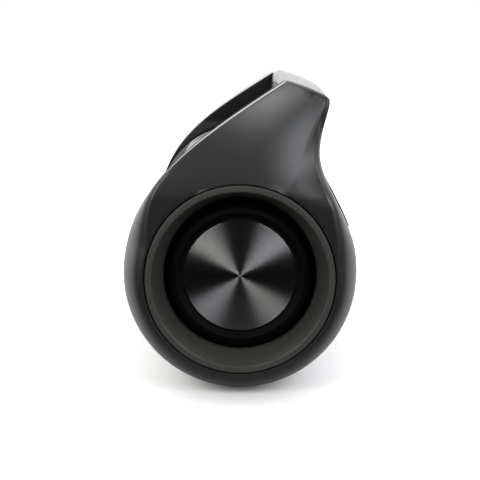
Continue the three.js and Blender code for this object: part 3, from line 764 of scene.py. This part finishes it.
# ---- Handle ----
HANDLE_STEPS = 120
FLARE = 30.0  # the bar's ends spread into the arms over this length
ARCH_HALF = HANDLE_END - INNER_LEAN
ARCH_RISE = HANDLE_HIGH.z - APEX_Z
GRIP_FRONT = Vector((37.2, 245.0))
GRIP_REAR = Vector((70.6, 231.0))
GRIP_LOW = Vector((51.5, 223.6))
FLARE_FRONT = Vector((-1.0, -0.4))
FLARE_LOW = Vector((0, -6.0))
CAP_EDGE, CAP_EDGE_LESS = 5.3, 1.5  # the cap's soft front edge, and how much of it the flare takes
CAP_END_ANGLE = REAR_CORNER_ANGLE - 1.0
GROOVE_PITCH, GROOVE_REACH, GROOVE_DEEP = 7.0, 112.0, 0.55
GROOVE_LEVEL, GROOVE_RUN, GROOVE_END = 238.0, 8.0, 6.0
GRIP_CENTRE = Vector((53, 240))


def arch(x):
    return ARCH_RISE * max(0.0, 1 - (x / ARCH_HALF) ** 2)


def handle_rings(section):
    """Rings of a section along the bar, its ends sloped as the arms are. The section takes the flare."""
    rings = []
    for i in range(HANDLE_STEPS + 1):
        x = HANDLE_END * (2 * i / HANDLE_STEPS - 1)
        flare = smooth(1 - (HANDLE_END - abs(x)) / FLARE)
        ring = []
        for p in section(flare):
            near = x * (1 - inner_lean(p.y) / HANDLE_END)
            ring.append((near, p.x, p.y + arch(near)))
        rings.append(ring)
    return rings


def top_section(flare):
    """The satin cap of the bar: a soft front edge, the teardrop's top and a crisp rear edge."""
    apex = on_circle(APEX_R, APEX_ANGLE)
    corner = on_circle(APEX_R, REAR_CORNER_ANGLE)
    front = GRIP_FRONT + FLARE_FRONT * flare
    edge = CAP_EDGE - CAP_EDGE_LESS * flare
    turn = math.degrees(edge / APEX_R)
    top = arc(APEX_R, APEX_ANGLE + turn, CAP_END_ANGLE, 16)
    side = apex.lerp(front, edge / (apex - front).length)
    turned = corner.lerp(GRIP_REAR, 0.2)
    line = [front, front.lerp(side, 0.5)]
    line += bezier(side, side.lerp(apex, 0.7), top[0].lerp(apex, 0.7), top[0], 8)
    line += top + bezier(on_circle(APEX_R, CAP_END_ANGLE), corner, corner, turned, 6)
    line += [turned.lerp(GRIP_REAR, i / 4) for i in range(4)] + [GRIP_REAR]
    inside = front + Vector((2.5, 0.5))
    return line + [GRIP_REAR + Vector((-4, 0.5)), Vector((60, 241)), Vector((43, 243)), inside]


def grip_section(flare):
    """The rubber under the bar, which the fingers hold, spreading into the arms at its ends."""
    front = GRIP_FRONT + FLARE_FRONT * flare + Vector((0.3, -0.5))
    rear = GRIP_REAR + Vector((-0.3, -0.4))
    low = GRIP_LOW + FLARE_LOW * flare
    line = bezier(front, front + Vector((-0.9, -11)), low + Vector((-11.5, 0)), low, 20)
    line += bezier(low, low + Vector((11, 0)), rear + Vector((0.2, -4 - 3 * flare)), rear, 14)
    return line + [rear, rear + Vector((-5, 0.8)), Vector((58.5, 240)), Vector((43, 242))]


def grooved(rings):
    """Presses shallow finger grooves across the underside of the grip."""
    for ring in rings:
        for k, (x, y, z) in enumerate(ring):
            under = smooth((GROOVE_LEVEL - z + arch(x)) / GROOVE_RUN)
            along = smooth((GROOVE_REACH - abs(x)) / GROOVE_END)
            wave = max(0.0, math.cos(2 * math.pi * x / GROOVE_PITCH)) ** 3
            toward = (GRIP_CENTRE - Vector((y, z))).normalized() * GROOVE_DEEP * wave * under * along
            ring[k] = (x, y + toward.x, z + toward.y)
    return rings


def make_handle():
    points, faces = capped(handle_rings(top_section))
    place(add_mesh("handle_cap", points, faces, SATIN, 30), "body", "satin_shell", "handle_top")
    points, faces = capped(grooved(handle_rings(grip_section)))
    place(add_mesh("grip", points, faces, RUBBER, 50), "body", "soft_rubber", "handle_grip")


make_handle()


# ---- Round body ----
def round_body(x, angle, height):
    """A point at an angle round the body, a height over its surface."""
    flat = on_circle(BODY_R + height, angle)
    return (x, flat.x, flat.y)


def stops(low, high, step, marks):
    """Evenly spaced values from low to high, with the marks among them."""
    count = round((high - low) / step)
    values = {low + (high - low) * i / count for i in range(count + 1)}
    kept = {v for v in values if all(abs(v - m) > step * 0.4 for m in marks)} | set(marks)
    return sorted(kept | {low, high})


WINDOW_GAP = 0.5
DOOR_ANGLES = tuple(math.degrees(math.acos((z - AXIS_Z) / BODY_R)) for z in (DOOR_HIGH.z, DOOR_LOW.z))
LIGHT_HALF = (LIGHT_HIGH.x, 4.0)
CLOTH_STEP, CLOTH_TURN = 4.0, 2.0  # between the cloth's points, along the body and in degrees round it
CLOTH_START = PANEL_FRONT - 10
END_DIP, END_RUN = 1.2, 3.0  # the cloth dips under the arm covers at its ends
EDGE_TUCK = 1.4


def cloth_windows():
    """Openings in the cloth, as low and high x and angle."""
    turn = math.degrees(1 / BODY_R)
    gap = WINDOW_GAP * turn
    light = LIGHT_HALF[1] * turn
    return (
        (-PANEL_HALF - WINDOW_GAP, PANEL_HALF + WINDOW_GAP, PANEL_FRONT - gap, PANEL_REAR + gap),
        (-DOOR_HALF - WINDOW_GAP, DOOR_HALF + WINDOW_GAP, DOOR_ANGLES[0] - gap, DOOR_ANGLES[1] + gap),
        (-LIGHT_HALF[0], LIGHT_HALF[0], 360 + LIGHT_ANGLE - light, 360 + LIGHT_ANGLE + light),
    )


def make_cloth():
    """One sleeve round the body, open at the control strip, the flap and the light, its edges tucked in."""
    windows = cloth_windows()
    xs = stops(-BODY_HALF, BODY_HALF, CLOTH_STEP, [w[k] for w in windows for k in (0, 1)])
    angles = stops(CLOTH_START, CLOTH_START + 360, CLOTH_TURN, [w[k] for w in windows for k in (2, 3)])
    width = len(angles) - 1
    points, faces = [], []
    for x in xs:
        dip = END_DIP * (1 - smooth((BODY_HALF - abs(x)) / END_RUN))
        points += [round_body(x, a, -dip) for a in angles[:-1]]
    for i in range(len(xs) - 1):
        for j in range(width):
            x, a = (xs[i] + xs[i + 1]) / 2, (angles[j] + angles[j + 1]) / 2
            if any(w[0] < x < w[1] and w[2] < a < w[3] for w in windows):
                continue
            k = (j + 1) % width
            faces.append((i * width + j, i * width + k, (i + 1) * width + k, (i + 1) * width + j))
    cloth = add_mesh("cloth", points, faces, CLOTH)
    tuck_edges(cloth, EDGE_TUCK)
    add_cloth_uv(cloth)
    place(cloth, "body", "speaker_cloth", "grille_cloth")


def tuck_edges(piece, depth):
    """Turns the open edges of a sheet round the body's axis inwards."""
    work = bmesh.new()
    work.from_mesh(piece.data)
    edges = [e for e in work.edges if e.is_boundary]
    made = bmesh.ops.extrude_edge_only(work, edges=edges)["geom"]
    for item in made:
        if isinstance(item, bmesh.types.BMVert):
            flat = Vector((item.co.y, item.co.z - AXIS_Z * MM))
            flat *= 1 - depth * MM / flat.length
            item.co.y, item.co.z = flat.x, flat.y + AXIS_Z * MM
    bmesh.ops.recalc_face_normals(work, faces=work.faces)
    work.to_mesh(piece.data)
    work.free()


def add_cloth_uv(piece):
    """A UV map in metres: along the body and round it."""
    layer = piece.data.uv_layers.new(name="cloth")
    for polygon in piece.data.polygons:
        middle = math.atan2(polygon.center.y, AXIS_Z * MM - polygon.center.z)
        for loop in polygon.loop_indices:
            co = piece.data.vertices[piece.data.loops[loop].vertex_index].co
            turn = math.atan2(co.y, AXIS_Z * MM - co.z)
            turn += 2 * math.pi * round((middle - turn) / (2 * math.pi))
            layer.data[loop].uv = (co.x, turn * BODY_R * MM)


make_cloth()


# ---- Pads: rounded rectangles that rise and fall in rings ----
def rounded_rectangle(half_u, half_v, radius, straight=10, corner=6):
    """A closed loop of (u, v) points, with the same count at any size."""
    radius = max(0.0, min(radius, half_u, half_v))
    corners = []
    for k, (side_u, side_v) in enumerate(((1, 1), (-1, 1), (-1, -1), (1, -1))):
        centre = Vector((side_u * (half_u - radius), side_v * (half_v - radius)))
        turns = [math.radians(90 * k + 90 * i / corner) for i in range(corner + 1)]
        corners.append([centre + Vector((math.cos(t), math.sin(t))) * radius for t in turns])
    loop = []
    for k in range(4):
        loop += corners[k]
        last, following = corners[k][-1], corners[(k + 1) % 4][0]
        loop += [last.lerp(following, i / straight) for i in range(1, straight)]
    return loop


def pad(rings, at, shrink=8, dome=0.0):
    """A closed form from rings of (half u, half v, corner radius, height), whose last ring closes over."""
    half_u, half_v, radius, height = rings[-1]
    closing = []
    for i in range(1, shrink + 1):
        t = i / shrink
        inset = half_v * t
        rise = dome * (1 - (1 - t) ** 2)
        closing.append((half_u - inset, half_v - inset, max(0.0, radius - inset), height + rise))
    loops = [[at(p.x, p.y, ring[3]) for p in rounded_rectangle(*ring[:3])] for ring in rings + closing]
    points, faces = loft(loops)
    return points, faces + [tuple(range(len(loops[0])))]


def edge_rings(half_u, half_v, radius, low, high, edge, steps=4):
    """Rings up a pad's side and round its upper edge."""
    rings = [(half_u, half_v, radius, low), (half_u, half_v, radius, high - edge)]
    for i in range(1, steps + 1):
        turn = math.pi / 2 * i / steps
        inset = edge * (1 - math.cos(turn))
        height = high - edge * (1 - math.sin(turn))
        rings.append((half_u - inset, half_v - inset, max(0.3, radius - inset), height))
    return rings


def over_body(x0, angle0):
    """Carries a pad's (u along X, v round to the rear, height) onto the body."""
    def at(u, v, height):
        return round_body(x0 + u, angle0 + math.degrees(v / BODY_R), height)
    return at


# ---- Control strip ----
STRIP_RISE = 0.7
STRIP_FLOOR = -0.5
STRIP_HALF_V = math.radians(PANEL_REAR - PANEL_FRONT) / 2 * BODY_R
STRIP_ROUND, STRIP_FOOT, STRIP_EDGE = 3.0, -2.5, 0.9
TRAY_U, TRAY_V = PANEL_HALF - 23, STRIP_HALF_V - 7
KEY_GAP = 0.45
KEY_FOOT, KEY_CREST, KEY_EDGE, KEY_DISH = -4.5, 0.9, 1.1, 0.35
SIGN_WIDTH, SIGN_FOOT, SIGN_PROUD = 0.62, 0.2, 0.06


def button_x(i):
    return (i - (len(BUTTONS) - 1) / 2) * BUTTON_PITCH


def make_strip():
    """The strip is raised at its edge and has a shallow tray for the buttons, with a hole for each."""
    rings = edge_rings(PANEL_HALF, STRIP_HALF_V, STRIP_ROUND, STRIP_FOOT, STRIP_RISE, STRIP_EDGE)
    rings += [
        (PANEL_HALF - 12, STRIP_HALF_V - 4.0, 5.0, STRIP_RISE),
        (TRAY_U + 0.6, TRAY_V + 0.6, 8.6, STRIP_RISE),
        (TRAY_U, TRAY_V, 8.0, STRIP_RISE - 0.3),
        (TRAY_U - 1.0, TRAY_V - 1.0, 7.0, STRIP_FLOOR + 0.2),
        (TRAY_U - 2.0, TRAY_V - 2.0, 6.0, STRIP_FLOOR),
    ]
    points, faces = pad(rings, over_body(0, PANEL_MIDDLE), shrink=12)
    strip = add_mesh("control_strip", points, faces, STRIP, 30)
    cutters = []
    for i in range(len(BUTTONS)):
        at = over_body(button_x(i), PANEL_MIDDLE)
        hole = [(BUTTON_LENGTH / 2 + KEY_GAP, BUTTON_WIDTH / 2 + KEY_GAP, BUTTON_WIDTH, h) for h in (-8, 4)]
        points, faces = pad(hole, at, shrink=3)
        cutters.append(add_mesh(f"cutter_{i}", points, faces, DARK))
    cut(strip, cutters)
    place(strip, "body", "satin_shell", "control_panel")


def cut(piece, cutters):
    """Takes the cutters out of the piece and removes them."""
    for cutter in cutters:
        change = piece.modifiers.new("cut", "BOOLEAN")
        change.operation = "DIFFERENCE"
        change.solver = "EXACT"
        change.object = cutter
    result = bpy.data.meshes.new_from_object(piece.evaluated_get(bpy.context.evaluated_depsgraph_get()))
    piece.modifiers.clear()
    piece.data = result
    result.shade_smooth()
    result.set_sharp_from_angle(angle=math.radians(30))
    for cutter in cutters:
        bpy.data.objects.remove(cutter)


def strokes(name, paths, width, at, low, high):
    """Raised lines along flat (u, v) paths; a path that ends where it starts is closed."""
    points, faces = [], []
    for path in paths:
        path = [Vector(p) for p in path]
        closed = (path[0] - path[-1]).length < 1e-6
        if closed:
            path = path[:-1]
        sections = []
        for i, point in enumerate(path):
            before = path[i - 1] if closed or i > 0 else point
            after = path[(i + 1) % len(path)] if closed or i < len(path) - 1 else point
            one = (point - before).normalized() if before != point else (after - point).normalized()
            two = (after - point).normalized() if after != point else one
            along = (one + two).normalized()
            mitre = max(0.5, math.sqrt((1 + one.dot(two)) / 2))
            side = Vector((-along.y, along.x)) * width / 2 / mitre
            left, right = point + side, point - side
            sections.append([at(*left, low), at(*left, high), at(*right, high), at(*right, low)])
        made, quads = loft(sections, looped=True) if closed else capped(sections)
        faces += [tuple(k + len(points) for k in face) for face in quads]
        points += made
    return add_mesh(name, points, faces, INK, 30)


def ring_path(radius, start, end, centre=(0, 0), count=24):
    turns = [math.radians(start + (end - start) * i / count) for i in range(count + 1)]
    return [Vector(centre) + Vector((math.cos(t), math.sin(t))) * radius for t in turns]


def icon_paths():
    """Plain signs for the six buttons, in (u, v) with v up as seen from the front of the strip."""
    link = [[(p.x + shift, p.y) for p in rounded_rectangle(2.6, 1.5, 1.5, 2, 4)] for shift in (-1.9, 1.9)]
    waves = [ring_path(radius, 40, 140, (0, -1.8)) for radius in (1.4, 3.0, 4.6)]
    return {
        "wireless": waves + [ring_path(0.3, 0, 360, (0, -1.7), 8)],
        "volume_down": [[(-2.6, 0), (2.6, 0)]],
        "power": [ring_path(2.4, 125, 415, (0, -0.3)), [(0, 0.2), (0, 3.1)]],
        "play": [[(-3.2, -2.2), (-3.2, 2.2), (0.4, 0), (-3.2, -2.2)], [(2.0, -2.2), (2.0, 2.2)],
                 [(3.8, -2.2), (3.8, 2.2)]],
        "volume_up": [[(-2.6, 0), (2.6, 0)], [(0, 0.36), (0, 2.6)], [(0, -0.36), (0, -2.6)]],
        "link": [loop + [loop[0]] for loop in link],
    }


def make_buttons():
    """Rubber keys with a soft edge and a shallow dish, each with its sign."""
    icons = icon_paths()
    rings = edge_rings(BUTTON_LENGTH / 2, BUTTON_WIDTH / 2, BUTTON_WIDTH, KEY_FOOT, KEY_CREST, KEY_EDGE, 5)
    for i, name in enumerate(BUTTONS):
        at = over_body(button_x(i), PANEL_MIDDLE)
        points, faces = pad(rings, at, shrink=8, dome=-KEY_DISH)
        body = f"{name}_button"
        place(add_mesh(f"{name}_key", points, faces, KEYS, 40), body, "button_rubber", body)
        sign = strokes(f"{name}_sign", icons[name], SIGN_WIDTH, at, SIGN_FOOT, KEY_CREST + SIGN_PROUD)
        place(sign, body, "light_lens")


make_strip()
make_buttons()


# ---- Charge light ----
LIGHT_ROUND = 20.0
LIGHT_FRAME = 1.6
LIGHT_INSET = 1.3


def make_light():
    """A milky window in a thin dark frame on the lower front."""
    at = over_body(0, LIGHT_ANGLE)
    half_u, half_v = LIGHT_HALF
    rings = edge_rings(half_u + LIGHT_FRAME, half_v + LIGHT_FRAME, LIGHT_ROUND, -1.5, 0.5, 0.5)
    for inset, height in ((0.4, 0.45), (0.9, 0.0)):
        rings.append((half_u - inset, half_v - inset, LIGHT_ROUND, height))
    points, faces = pad(rings, at, shrink=4)
    place(add_mesh("light_frame", points, faces, DARK, 30), "body", "dark_plastic")
    rings = edge_rings(half_u - LIGHT_INSET, half_v - LIGHT_INSET, LIGHT_ROUND, -0.4, 0.3, 0.3)
    points, faces = pad(rings, at, shrink=5, dome=0.25)
    place(add_mesh("light_window", points, faces, LENS, 30), "body", "light_lens", "charge_light")


make_light()


# ---- Port flap ----
FLAP_GAP = 0.3
FLAP_ROUND, FLAP_FOOT, FLAP_RISE, FLAP_EDGE = 4.0, -2.7, 0.25, 0.9
LIP_FROM_EDGE = 2.4


def make_flap():
    """A rubber flap with a soft edge, a sunk panel and a pull lip along the middle of its upper edge."""
    half_v = math.radians(DOOR_ANGLES[1] - DOOR_ANGLES[0]) / 2 * BODY_R
    rings = edge_rings(DOOR_HALF - FLAP_GAP, half_v - FLAP_GAP, FLAP_ROUND, FLAP_FOOT, FLAP_RISE, FLAP_EDGE)
    rings += [
        (DOOR_HALF - 6.0, half_v - 6.0, 3.4, FLAP_RISE),
        (DOOR_HALF - 6.5, half_v - 6.5, 3.1, -0.05),
        (DOOR_HALF - 7.2, half_v - 7.2, 2.6, -0.25),
    ]
    points, faces = pad(rings, over_body(0, sum(DOOR_ANGLES) / 2), shrink=10)
    place(add_mesh("flap", points, faces, RUBBER, 35), "port_door", "soft_rubber", "port_door")
    rings = edge_rings(9.0, 2.0, 1.8, -0.6, 1.1, 0.8)
    lip_angle = DOOR_ANGLES[0] + math.degrees(LIP_FROM_EDGE / BODY_R)
    points, faces = pad(rings, over_body(0, lip_angle), shrink=4)
    place(add_mesh("flap_lip", points, faces, RUBBER, 40), "port_door", "soft_rubber")


make_flap()


# ---- Feet ----
FOOT_ROUND, FOOT_EDGE = 9.0, 1.2


def make_feet():
    """Long rubber pads, shaped to the body on top, with a soft lower edge."""
    half_u = (FOOT_HIGH.x - FOOT_LOW.x) / 2
    half_v = FOOT_HIGH.y
    middle = (FOOT_HIGH.x + FOOT_LOW.x) / 2

    def at(u, v, share):
        """Share runs from 1 at the body to 0 on the floor."""
        seat = AXIS_Z - math.sqrt((BODY_R + 0.2) ** 2 - v * v)
        return (middle + u, v, seat * share)

    levels = ((0.0, 1.0), (0.0, 0.45), (0.0, 0.2), (0.35 * FOOT_EDGE, 0.06), (FOOT_EDGE, 0.0))
    rings = [(half_u - inset, half_v - inset, FOOT_ROUND, share) for inset, share in levels]
    points, faces = pad(rings, at, shrink=6)
    both_ends("pad", points, faces, RUBBER, "body", "soft_rubber", ["foot_{}"], sharp=45.0)


make_feet()


# ---- Stage ----
# Only the camera sees the floor and the backdrop plain. What the object reflects is this dim room, which
# is bright behind the object. The places are x in metres for the floor, and x of a direction for the room.
# In reflections the floor holds painted shade: near black in front of the end face, pale behind it.
FLOOR_PAINTED_SHADE, FLOOR_BEHIND = (0.003, 0.003, 0.003), (0.72, 0.72, 0.72)
FLOOR_BRIGHTENS = (0.36, 0.16)
FLOOR_HALF = 6000.0
PAPER_WHITE, PAPER_SHADE = (0.93, 0.93, 0.93), (0.90, 0.90, 0.90)
ROOM_NEAR, ROOM_SIDES, ROOM_BEHIND = (0.012, 0.012, 0.012), (3.3, 3.3, 3.3), (2.4, 2.4, 2.4)
ROOM_BRIGHTENS = (0.25, -0.35)
ROOM_STRAIGHT = (-0.78, -0.97)
BOX_TOWARD, BOX_DISTANCE, BOX_SIZE, BOX_POWER = Vector((0.66, 0.59, 0.47)), 1.7, (0.82, 1.15), 22.0
COOL, WARM = (0.94, 0.96, 1.0), (1.0, 0.985, 0.94)
SPOT_TARGET = Vector((HALF - LEAN, 22, 252))
SPOT_TOWARD, SPOT_DISTANCE, SPOT_POWER, SPOT_ANGLE = Vector((0.6, 0.0, 0.8)), 1.6, 47.0, 3.6


def seen_and_reflected(nodes, seen, reflected):
    """One colour for the camera's own rays and another for all others."""
    return nodes.tint(nodes.add("ShaderNodeLightPath").outputs["Is Camera Ray"], reflected, seen)


def x_of(nodes, coordinates):
    return nodes.add("ShaderNodeSeparateXYZ", {"Vector": coordinates}).outputs["X"]


def make_floor():
    """A pale floor as the camera sees it; in reflections it holds painted shade, near black in front of the
    end face and pale behind it.
    """
    material, nodes, shader, coordinates = start_material("floor")
    paper = nodes.tint(nodes.noise(coordinates, 3.0), PAPER_SHADE, PAPER_WHITE)
    # Painted shade: the colour other rays see goes near black in front of the end face and pale behind it.
    behind = nodes.ramp(x_of(nodes, coordinates), *FLOOR_BRIGHTENS)
    reflected = nodes.tint(behind, FLOOR_PAINTED_SHADE, FLOOR_BEHIND)
    nodes.fill(shader, {"Base Color": seen_and_reflected(nodes, paper, reflected), "Roughness": 0.9,
                        "Specular IOR Level": 0.0})
    corners = [(u * FLOOR_HALF, v * FLOOR_HALF, 0) for u, v in ((-1, -1), (1, -1), (1, 1), (-1, 1))]
    floor = add_mesh("floor", corners, [(0, 1, 2, 3)], material)


def make_world():
    """A white backdrop and the room."""
    world = bpy.data.worlds.new("studio")
    bpy.context.scene.world = world
    world.use_nodes = True
    nodes = Nodes(world.node_tree)
    x = x_of(nodes, nodes.add("ShaderNodeTexCoord").outputs["Generated"])
    sides = nodes.tint(nodes.ramp(x, *ROOM_BRIGHTENS), ROOM_NEAR, ROOM_SIDES)
    room = nodes.tint(nodes.ramp(x, *ROOM_STRAIGHT), sides, ROOM_BEHIND)
    color = seen_and_reflected(nodes, (1, 1, 1), room)
    nodes.fill(world.node_tree.nodes["Background"], {"Color": color, "Strength": 1.0})


def add_lamp(name, kind, target, toward, distance, power, **settings):
    """A light off a target in a direction, turned to it. The distance is in metres."""
    data = bpy.data.lights.new(name, kind)
    data.energy = power
    for key, value in settings.items():
        setattr(data, key, value)
    lamp = bpy.data.objects.new(name, data)
    bpy.context.scene.collection.objects.link(lamp)
    lamp.location = target * MM + toward.normalized() * distance
    lamp.rotation_euler = (target * MM - lamp.location).to_track_quat("-Z", "Y").to_euler()


def make_lamps():
    """A narrow spot on the near arm's upper part, and a large soft light to each side of the end face."""
    add_lamp("top_spot", "SPOT", SPOT_TARGET, SPOT_TOWARD, SPOT_DISTANCE, SPOT_POWER,
             spot_size=math.radians(SPOT_ANGLE), spot_blend=1.0, shadow_soft_size=0.03)
    for name, side, tint in (("left_box", -1, WARM), ("right_box", 1, COOL)):
        toward = Vector((BOX_TOWARD.x, side * BOX_TOWARD.y, BOX_TOWARD.z))
        add_lamp(name, "AREA", Vector((HALF, 0, AXIS_Z)), toward, BOX_DISTANCE, BOX_POWER,
                 shape="RECTANGLE", size=BOX_SIZE[0], size_y=BOX_SIZE[1], color=tint)


make_floor()
make_world()
make_lamps()
bpy.context.scene.view_settings.view_transform = "Standard"
